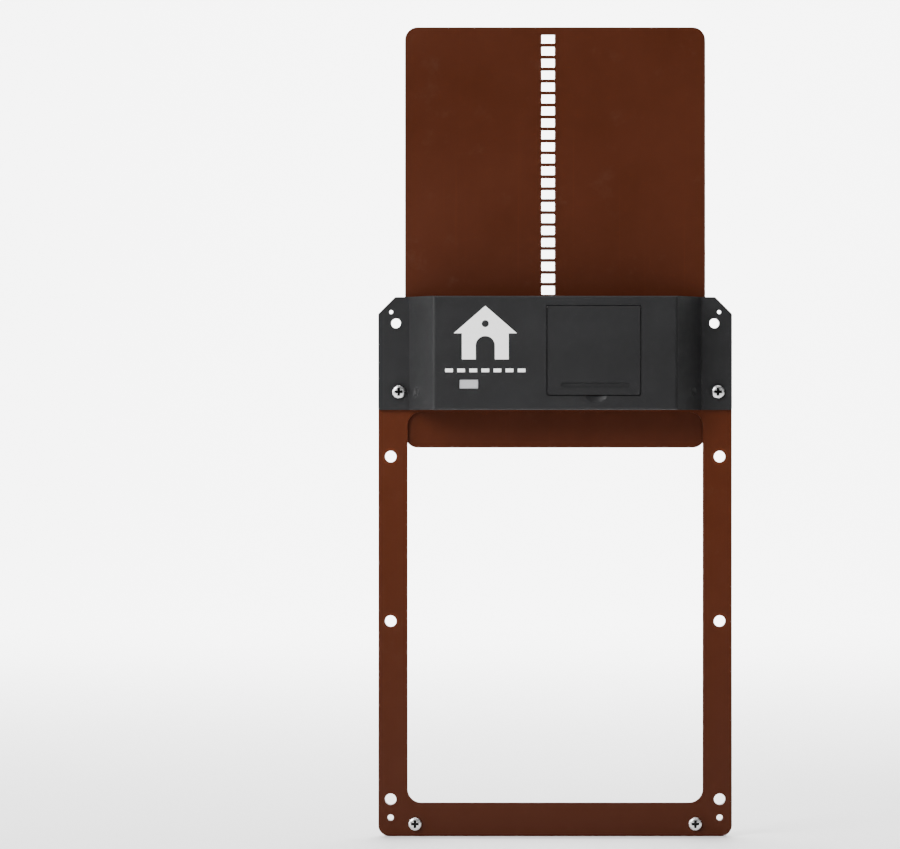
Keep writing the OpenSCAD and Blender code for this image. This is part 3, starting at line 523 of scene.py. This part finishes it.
def new_mesh(name, bm):
    """The finished bmesh as a mesh."""
    mesh = bpy.data.meshes.new(name)
    bm.to_mesh(mesh)
    bm.free()
    return mesh


def body_of(node):
    """Name of the body that a CAD node belongs to."""
    bodies = RECORD["behaviour"]["bodies"]
    return next(body for body, nodes in bodies.items() if node in nodes)


def add(name, mesh, material, body, replaced):
    """A finished mesh as a piece on one body, shaded smooth, in place of CAD nodes."""
    o = new_object(name, mesh)
    dress(mesh, material)
    shade_smooth(mesh)
    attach(o, body)
    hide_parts(*replaced)
    return o


# Depth of a pan head and of its straight rim, as shares of its radius and of its depth
HEAD_DEPTH = 0.62
RIM_DEPTH = 0.4


def screw_profile(r, front, back, steps=12):
    """Radius and depth down a pan-head screw, from the middle of its dome to its tip."""
    head = HEAD_DEPTH * r
    rim = RIM_DEPTH * head
    dome = []
    for i in range(steps + 1):
        share = i / steps
        crown = (head - rim) * math.sqrt(1 - share**3)
        dome.append((r * share, front + head - rim - crown))
    shank = r / 2
    return dome + [(r, front + head), (shank, front + head), (shank, back), (0, back)]


def lathe(bm, x, z, profile, sides=64):
    """Turns a profile of radius and depth about an axis along Y."""
    angles = [2 * math.pi * (k + 0.5) / sides for k in range(sides)]
    rings = []
    for r, y in profile:
        points = [(x + r * math.cos(a), y, z + r * math.sin(a)) for a in angles]
        rings.append([bm.verts.new(p) for p in (points if r else points[:1])])
    for one, two in zip(rings, rings[1:]):
        for k in range(sides):
            j = (k + 1) % sides
            corners = (one[k % len(one)], one[j % len(one)], two[j % len(two)], two[k % len(two)])
            bm.faces.new(list(dict.fromkeys(corners)))


def cross_prism(bm, x, z, r, front):
    """A plus that narrows from just above a screw's head down to the floor of its recess."""
    head = HEAD_DEPTH * r
    quarter_turns = ((1, 0), (0, 1), (-1, 0), (0, -1))
    rims = []
    for y, reach, half in (
        (front - 0.1 * head, 0.63 * r, 0.21 * r),
        (front + 0.7 * head, 0.4 * r, 0.12 * r),
    ):
        arm = [(reach, -half), (reach, half), (half, half)]
        plus = [(px * c - pz * s, px * s + pz * c) for c, s in quarter_turns for px, pz in arm]
        rims.append([bm.verts.new((x + px, y, z + pz)) for px, pz in plus])
    top, floor = rims
    for k in range(len(top)):
        j = (k + 1) % len(top)
        bm.faces.new((top[k], top[j], floor[j], floor[k]))
    bm.faces.new(top[::-1])
    bm.faces.new(floor)


def cross_screws(name, node):
    """The node's pan-head screws, with a round dome and a tapered cross recess."""
    low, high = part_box(node)
    r = (high.z - low.z) / 2
    screws, crosses = bmesh.new(), bmesh.new()
    for x, z in halves(node):
        lathe(screws, x, z, screw_profile(r, low.y, high.y))
        cross_prism(crosses, x, z, r, low.y)
    made = []
    for part, bm in (("solid", screws), ("cross", crosses)):
        bmesh.ops.recalc_face_normals(bm, faces=bm.faces)
        made.append(new_object(f"{name}_{part}", new_mesh(f"{name}_{part}", bm)))
    solid, cross = made
    solid.modifiers.new("cross", "BOOLEAN").object = cross
    bpy.context.view_layer.update()
    cut = solid.evaluated_get(bpy.context.evaluated_depsgraph_get())
    mesh = bpy.data.meshes.new_from_object(cut)
    for o in made:
        bpy.data.objects.remove(o)
    o = add(name, mesh, LOOKS["housing_screws"], body_of(node), [node])
    mesh.set_sharp_from_angle(angle=SHARP_ANGLE)
    return o


def round_wires(name, routes, r, sides=12):
    """One mesh of round wires of radius r along lists of points, closed at their ends."""
    angles = [2 * math.pi * k / sides for k in range(sides)]
    bm = bmesh.new()
    for route in routes:
        points = [Vector(p) for p in route]
        side = (points[1] - points[0]).orthogonal()
        last = None
        for p, before, after in zip(points, points[:1] + points, points[1:] + points[-1:]):
            run = (after - before).normalized()
            side = (side - run * run.dot(side)).normalized()
            other = run.cross(side)
            ring = [p + r * (math.cos(a) * side + math.sin(a) * other) for a in angles]
            loop = [bm.verts.new(v) for v in ring]
            if last:
                for k in range(sides):
                    j = (k + 1) % sides
                    bm.faces.new((last[k], last[j], loop[j], loop[k]))
            else:
                bm.faces.new(loop[::-1])
            last = loop
        bm.faces.new(last)
    bmesh.ops.recalc_face_normals(bm, faces=bm.faces)
    return new_mesh(name, bm)


def helix(foot, top, radii, turns, per_turn=16):
    """Points of a coil that starts round foot, with the first radius, and ends at height top."""
    x, y, z = foot
    steps = turns * per_turn
    for k in range(steps + 1):
        share = k / steps
        a = 2 * math.pi * turns * share
        r = radii[0] + (radii[1] - radii[0]) * share
        yield (x + r * math.cos(a), y + r * math.sin(a), z + (top - z) * share)


def contact_coils():
    """Conical springs at the flat ends of the four cells, in the room of the CAD stacks."""
    wire = 0.00035
    taper = 0.58
    turns = 5
    low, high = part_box("contact_springs")
    widest = (high.y - low.y) / 2 - wire
    routes = []
    for i in range(1, 5):
        cell_low, cell_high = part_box(f"battery_cell_{i}")
        x, y = (cell_low.x + cell_high.x) / 2, (cell_low.y + cell_high.y) / 2
        if i % 2:
            z, top = low.z + wire, cell_low.z - wire
        else:
            z, top = high.z - wire, cell_high.z + wire
        routes.append(list(helix((x, y, z), top, (widest, widest * taper), turns)))
    mesh = round_wires("contact_coils", routes, wire)
    o = add("contact_coils", mesh, LOOKS["contact_plates"], body_of("contact_springs"),
            ["contact_springs"])
    return o


def through(points, per=8):
    """Points of a smooth curve through every one of these points."""
    ends = (2 * points[0] - points[1], 2 * points[-1] - points[-2])
    points = [ends[0], *points, ends[1]]
    for a, b, c, d in zip(points, points[1:], points[2:], points[3:]):
        slope = c - a
        bend = 2 * a - 5 * b + 4 * c - d
        twist = 3 * b - a - 3 * c + d
        for k in range(per):
            t = k / per
            yield 0.5 * (2 * b + slope * t + bend * t**2 + twist * t**3)
    yield points[-2]


LEAD_RADIUS = 0.0006


def millimetres(x, y, z):
    return Vector((x, y, z)) / 1000


def lead(start, bends, socket, drop):
    """Route of a lead from start, through its bends, to a socket that it enters from behind.

    The bends are measured from the start, and drop is the height lost on the way into the
    socket: both are in millimetres."""
    behind_socket = socket + millimetres(0, 6.6, drop)
    points = [start, *(start + millimetres(*bend) for bend in bends), behind_socket, socket]
    return list(through(points))


def lead_routes():
    """Routes of the tied leads from the motor and the batteries to the board, by colour."""
    terminals_low, terminals_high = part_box("motor_terminals")
    plates_low, plates_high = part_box("contact_plates")
    sockets_low, sockets_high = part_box("board_connectors")

    def terminal(x):
        return Vector((x, terminals_high.y, terminals_high.z)) + millimetres(0, 0.7, -1.4)

    def plate(y):
        return Vector((plates_low.x, plates_high.y, plates_high.z)) + millimetres(-5.4, y, 0.6)

    def socket(x):
        z = (sockets_low.z + sockets_high.z) / 2
        return Vector((x, sockets_low.y + 0.0014, z))

    red = [
        lead(terminal(terminals_high.x - 0.0003), [(-10, 4.7, 3.4), (-33, 4.1, -4.4)],
             socket(sockets_low.x + 0.0026), 1.4),
        lead(plate(-3.3), [(-8.4, 7, 3), (-22.4, 16.4, 2), (-35.4, 16.4, -16)],
             socket(sockets_high.x - 0.003), 0),
    ]
    black = [
        lead(terminal(terminals_low.x + 0.0003), [(-4, 4.5, -1), (-21, 3.7, -8)],
             socket(sockets_low.x + 0.005), 0.8),
        lead(plate(-0.9), [(-8.4, 7, 3), (-22.4, 16.2, 2), (-35.4, 16.2, -16)],
             socket(sockets_high.x - 0.005), 0),
    ]
    return red, black


def tied_leads(name, routes, material):
    """The leads of one colour, along the routes of the CAD ones."""
    mesh = round_wires(name, routes, LEAD_RADIUS)
    o = add(name, mesh, material, body_of("motor_leads"), ["motor_leads", "battery_leads"])
    return o


RED_ROUTES, BLACK_ROUTES = lead_routes()

contact_coils()
tied_leads("red_leads", RED_ROUTES, LOOKS["motor_leads"])
tied_leads("black_leads", BLACK_ROUTES, sheath("lead_black", (0.012, 0.012, 0.013)))
cross_screws("housing_cross_screws", "housing_screws")
cross_screws("sill_cross_screws", "sill_screws")


# ---------- floor, light and camera ----------

WALL_DEPTH = 4.6


def backdrop():
    """Pale floor that curves up into a wall behind the door."""
    floor_z = CAD_BOX[0].z - 0.0002
    reach, front, depth, height = 7.0, -9.0, WALL_DEPTH, 5.0
    bend, steps = 1.2, 16
    profile = [(front, floor_z), (depth - bend, floor_z)]
    for i in range(1, steps + 1):
        a = math.pi / 2 * i / steps
        profile.append((depth - bend + bend * math.sin(a), floor_z + bend - bend * math.cos(a)))
    profile.append((depth, floor_z + height))
    bm = bmesh.new()
    left, right = [[bm.verts.new((x, y, z)) for y, z in profile] for x in (-reach, reach)]
    for i in range(len(profile) - 1):
        bm.faces.new((left[i], right[i], right[i + 1], left[i + 1]))
    mesh = new_mesh("floor", bm)
    shade_smooth(mesh)
    o = new_object("floor", mesh)
    m = Look("pale_floor", 0.7)
    m.colour(m.mix(m.noise(3, 2), (0.80, 0.80, 0.80), (0.83, 0.83, 0.83)))
    dress(mesh, m.mat)


def area_light(name, place, aim, size, power):
    """White rectangular light at place, turned towards aim; size in metres, power in watts."""
    data = bpy.data.lights.new(name, "AREA")
    data.shape = "RECTANGLE"
    data.size, data.size_y = size
    data.energy = power
    o = new_object(name, data)
    o.location = place
    o.rotation_mode = "QUATERNION"
    o.rotation_quaternion = (Vector(aim) - Vector(place)).to_track_quat("-Z", "Y")


def studio():
    """Even white surroundings, a large key light from the upper left and a bright wall."""
    world = bpy.data.worlds.new("studio")
    world.use_nodes = True
    back = world.node_tree.nodes["Background"]
    back.inputs["Color"].default_value = (1.0, 1.0, 1.0, 1.0)
    back.inputs["Strength"].default_value = 0.24
    bpy.context.scene.world = world
    area_light("key", (-1.7, -2.0, 1.6), (0, 0, 0.16), (1.4, 1.4), 118)
    area_light("fill", (2.2, -2.4, 0.8), (0, 0, 0.12), (1.8, 1.8), 3.5)
    area_light("top", (0.0, 0.3, 2.6), (0, 0.2, 0.1), (2.4, 2.0), 75)
    area_light("wall", (0.0, 2.5, 2.9), (0, WALL_DEPTH, 0.4), (4.5, 1.4), 950)
    area_light("rim", (-2.6, -0.7, 0.5), (0, 0, 0.2), (0.8, 1.2), 34)


def camera():
    """Level frontal view on the door's own middle; the shift frames it right of the centre."""
    # Width of the view at the front plate, and the camera's distance from it
    view_width = 0.6618
    distance = 3.0
    # How far the door stands right of the view's middle, and the eye's height over its foot
    off_centre = 0.0773
    eye_height = 0.3026
    plate_low, plate_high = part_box("front_plate")
    data = bpy.data.cameras.new("camera")
    data.sensor_width = 36.0
    data.lens = data.sensor_width * distance / view_width
    data.shift_x = -off_centre / view_width
    data.clip_end = 50
    o = new_object("camera", data)
    middle = (plate_low.x + plate_high.x) / 2
    o.location = (middle, plate_low.y - distance, plate_low.z + eye_height)
    o.rotation_euler = (math.pi / 2, 0, 0)
    bpy.context.scene.camera = o


backdrop()
studio()
camera()
